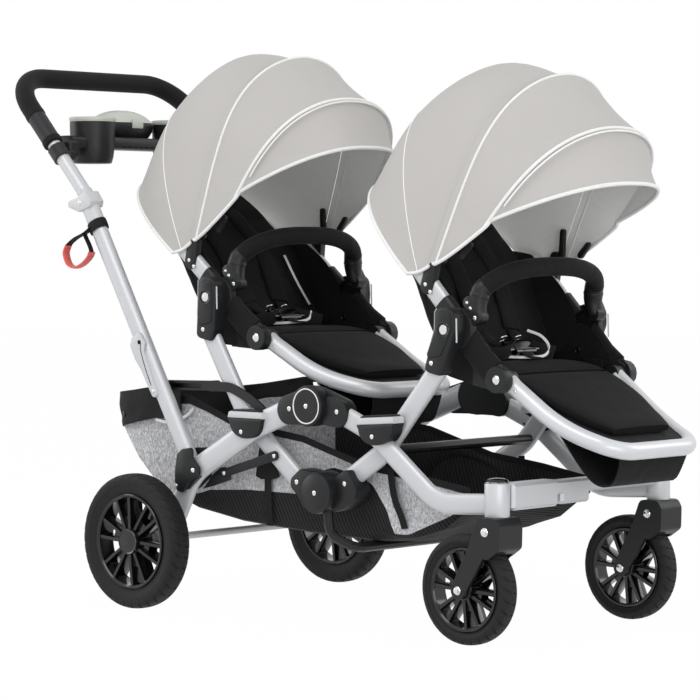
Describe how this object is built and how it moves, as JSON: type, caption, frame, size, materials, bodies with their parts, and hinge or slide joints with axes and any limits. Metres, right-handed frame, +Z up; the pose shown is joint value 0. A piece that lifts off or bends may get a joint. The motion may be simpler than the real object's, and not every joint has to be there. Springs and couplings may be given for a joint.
{
  "type": "tandem stroller",
  "caption": "Tandem stroller: reclining seats one behind the other under folding canopies on a four-wheel folding frame with casters, basket, parent tray and height-adjusting handle",
  "frame": {"origin": "on the ground, under the middle of the bounding box", "axes": "+X the way it travels, +Y its left side, +Z up"},
  "size_m": [1.457, 0.6024, 1.049],
  "materials": {
    "silver": "satin silver paint",
    "black_plastic": "matte",
    "gloss_black": "gloss",
    "rubber": "matte",
    "foam": "soft foam",
    "dark_metal": "satin",
    "grey_plastic": "satin",
    "red_plastic": "satin",
    "canopy_cloth": "woven",
    "black_cloth": "woven",
    "basket_cloth": "melange weave and mesh",
    "chrome": "polished"
  },
  "bodies": {
    "rear_frame": {"rear_leg_R": "silver", "rear_leg_L": "silver", "rear_axle": "silver", "basket": "basket_cloth"},
    "front_frame": {"front_leg_R": "silver", "front_leg_L": "silver", "front_crossbar": "silver"},
    "rear_arms": {"rear_arm_R": "silver", "rear_arm_L": "silver", "rear_mount_R": "black_plastic", "rear_mount_L": "black_plastic", "lower_link": "black_plastic", "rear_seat_frame": "black_plastic", "rear_seat_pad": "black_cloth"},
    "front_arms": {"front_arm_R": "silver", "front_arm_L": "silver", "front_mount_R": "black_plastic", "front_mount_L": "black_plastic", "pivot_cross_tube": "dark_metal", "front_seat_frame": "black_plastic", "front_seat_pad": "black_cloth"},
    "handle_lower": {"handle_tube_R": "silver", "handle_tube_L": "silver"},
    "handle_upper": {"handle_bar": "silver", "handle_grip": "foam", "parent_tray": "black_plastic"},
    "tray_cover": {"tray_lid": "grey_plastic"},
    "braces": {"handle_brace_R": "black_plastic", "handle_brace_L": "black_plastic"},
    "brake": {"brake_pedal": "red_plastic"},
    "rear_wheel_R": {"rear_tyre_R": "rubber", "rear_rim_R": "gloss_black"},
    "caster_R": {"fork_R": "black_plastic"},
    "front_wheel_R": {"front_tyre_R": "rubber", "front_rim_R": "gloss_black"},
    "rear_wheel_L": {"rear_tyre_L": "rubber", "rear_rim_L": "gloss_black"},
    "caster_L": {"fork_L": "black_plastic"},
    "front_wheel_L": {"front_tyre_L": "rubber", "front_rim_L": "gloss_black"},
    "rear_release_R": {"rear_release_button_R": "chrome"},
    "rear_legrest_press_R": {"rear_legrest_button_R": "chrome"},
    "rear_release_L": {"rear_release_button_L": "chrome"},
    "rear_legrest_press_L": {"rear_legrest_button_L": "chrome"},
    "rear_recline": {"rear_backrest": "black_cloth", "rear_canopy_rear": "canopy_cloth"},
    "rear_canopy_fold": {"rear_canopy_front": "canopy_cloth"},
    "rear_legrest": {"rear_legrest_tube": "silver", "rear_legrest_pad": "black_cloth"},
    "rear_bumper": {"rear_bumper_bar": "foam"},
    "front_release_R": {"front_release_button_R": "chrome"},
    "front_legrest_press_R": {"front_legrest_button_R": "chrome"},
    "front_release_L": {"front_release_button_L": "chrome"},
    "front_legrest_press_L": {"front_legrest_button_L": "chrome"},
    "front_recline": {"front_backrest": "black_cloth", "front_canopy_rear": "canopy_cloth"},
    "front_canopy_fold": {"front_canopy_front": "canopy_cloth"},
    "front_legrest": {"front_legrest_tube": "silver", "front_legrest_pad": "black_cloth"},
    "front_bumper": {"front_bumper_bar": "foam"}
  },
  "joints": [
    {"name": "frame_fold", "type": "hinge", "parent": "rear_frame", "child": "front_frame", "pos_m": [0.122, 0, 0.395], "axis": [0, 1, 0], "range_deg": [0, 8]},
    {"name": "rear_arm_swing", "type": "hinge", "parent": "rear_frame", "child": "rear_arms", "pos_m": [-0.045, 0, 0.345], "axis": [0, 1, 0], "range_deg": [0, 5.7]},
    {"name": "front_arm_swing", "type": "hinge", "parent": "front_frame", "child": "front_arms", "pos_m": [0.28, 0, 0.344], "axis": [0, 1, 0], "range_deg": [-6.55, 0]},
    {"name": "handle_fold", "type": "hinge", "parent": "rear_frame", "child": "handle_lower", "pos_m": [-0.19, 0, 0.264], "axis": [0, 1, 0], "range_deg": [0, 7]},
    {"name": "handle_height", "type": "slide", "parent": "handle_lower", "child": "handle_upper", "axis": [-0.5015, 0, 0.8651], "range_m": [0, 0.06]},
    {"name": "tray_lid_hinge", "type": "hinge", "parent": "handle_upper", "child": "tray_cover", "pos_m": [-0.682, 0, 0.9283], "axis": [0, 1, 0], "range_deg": [-80, 0]},
    {"name": "brace_swing", "type": "hinge", "parent": "rear_frame", "child": "braces", "pos_m": [-0.012, 0, 0.372], "axis": [0, 1, 0], "range_deg": [0, 2]},
    {"name": "rear_wheel_spin_R", "type": "hinge", "parent": "rear_frame", "child": "rear_wheel_R", "pos_m": [-0.29, -0.2785, 0.127], "axis": [0, 1, 0], "continuous": true},
    {"name": "caster_swivel_R", "type": "hinge", "parent": "front_frame", "child": "caster_R", "pos_m": [0.548, -0.228, 0.2235], "axis": [0, 0, 1], "continuous": true},
    {"name": "front_wheel_spin_R", "type": "hinge", "parent": "caster_R", "child": "front_wheel_R", "pos_m": [0.4863, -0.228, 0.0957], "axis": [0, 1, 0], "continuous": true},
    {"name": "rear_wheel_spin_L", "type": "hinge", "parent": "rear_frame", "child": "rear_wheel_L", "pos_m": [-0.29, 0.2785, 0.127], "axis": [0, 1, 0], "continuous": true},
    {"name": "caster_swivel_L", "type": "hinge", "parent": "front_frame", "child": "caster_L", "pos_m": [0.548, 0.228, 0.2235], "axis": [0, 0, 1], "continuous": true},
    {"name": "front_wheel_spin_L", "type": "hinge", "parent": "caster_L", "child": "front_wheel_L", "pos_m": [0.4863, 0.228, 0.0957], "axis": [0, 1, 0], "continuous": true},
    {"name": "brake_press", "type": "hinge", "parent": "rear_frame", "child": "brake", "pos_m": [-0.29, 0, 0.127], "axis": [0, 1, 0], "range_deg": [-10, 0]},
    {"name": "rear_release_press_R", "type": "slide", "parent": "rear_arms", "child": "rear_release_R", "axis": [0, 1, 0], "range_m": [0, 0.003], "stiffness_N_per_m": 150},
    {"name": "rear_legrest_button_press_R", "type": "slide", "parent": "rear_arms", "child": "rear_legrest_press_R", "axis": [0, 1, 0], "range_m": [0, 0.003], "stiffness_N_per_m": 150},
    {"name": "rear_release_press_L", "type": "slide", "parent": "rear_arms", "child": "rear_release_L", "axis": [0, -1, 0], "range_m": [0, 0.003], "stiffness_N_per_m": 150},
    {"name": "rear_legrest_button_press_L", "type": "slide", "parent": "rear_arms", "child": "rear_legrest_press_L", "axis": [0, -1, 0], "range_m": [0, 0.003], "stiffness_N_per_m": 150},
    {"name": "rear_recline_hinge", "type": "hinge", "parent": "rear_arms", "child": "rear_recline", "pos_m": [-0.166, 0, 0.586], "axis": [0, 1, 0], "range_deg": [-16, 12]},
    {"name": "rear_canopy_hinge", "type": "hinge", "parent": "rear_recline", "child": "rear_canopy_fold", "pos_m": [-0.24716, 0, 0.6623], "axis": [0, 1, 0], "range_deg": [-22, 0]},
    {"name": "rear_legrest_hinge", "type": "hinge", "parent": "rear_arms", "child": "rear_legrest", "pos_m": [-0.06696, 0, 0.51174], "axis": [0, 1, 0], "range_deg": [-25, 55]},
    {"name": "rear_bumper_hinge", "type": "hinge", "parent": "rear_arms", "child": "rear_bumper", "pos_m": [-0.13162, 0, 0.61105], "axis": [0, 1, 0], "range_deg": [-40, 0]},
    {"name": "front_release_press_R", "type": "slide", "parent": "front_arms", "child": "front_release_R", "axis": [0, 1, 0], "range_m": [0, 0.003], "stiffness_N_per_m": 150},
    {"name": "front_legrest_button_press_R", "type": "slide", "parent": "front_arms", "child": "front_legrest_press_R", "axis": [0, 1, 0], "range_m": [0, 0.003], "stiffness_N_per_m": 150},
    {"name": "front_release_press_L", "type": "slide", "parent": "front_arms", "child": "front_release_L", "axis": [0, -1, 0], "range_m": [0, 0.003], "stiffness_N_per_m": 150},
    {"name": "front_legrest_button_press_L", "type": "slide", "parent": "front_arms", "child": "front_legrest_press_L", "axis": [0, -1, 0], "range_m": [0, 0.003], "stiffness_N_per_m": 150},
    {"name": "front_recline_hinge", "type": "hinge", "parent": "front_arms", "child": "front_recline", "pos_m": [0.418, 0, 0.537], "axis": [0, 1, 0], "range_deg": [-16, 35]},
    {"name": "front_canopy_hinge", "type": "hinge", "parent": "front_recline", "child": "front_canopy_fold", "pos_m": [0.346, 0, 0.622], "axis": [0, 1, 0], "range_deg": [-22, 0]},
    {"name": "front_legrest_hinge", "type": "hinge", "parent": "front_arms", "child": "front_legrest", "pos_m": [0.508, 0, 0.452], "axis": [0, 1, 0], "range_deg": [-25, 20]},
    {"name": "front_bumper_hinge", "type": "hinge", "parent": "front_arms", "child": "front_bumper", "pos_m": [0.455, 0, 0.558], "axis": [0, 1, 0], "range_deg": [-40, 0]}
  ],
  "couplings": [
    {"joint": "rear_arm_swing", "follows": "frame_fold", "ratio": 0.7},
    {"joint": "front_arm_swing", "follows": "frame_fold", "ratio": -0.806},
    {"joint": "brace_swing", "follows": "handle_fold", "ratio": 0.25}
  ]
}
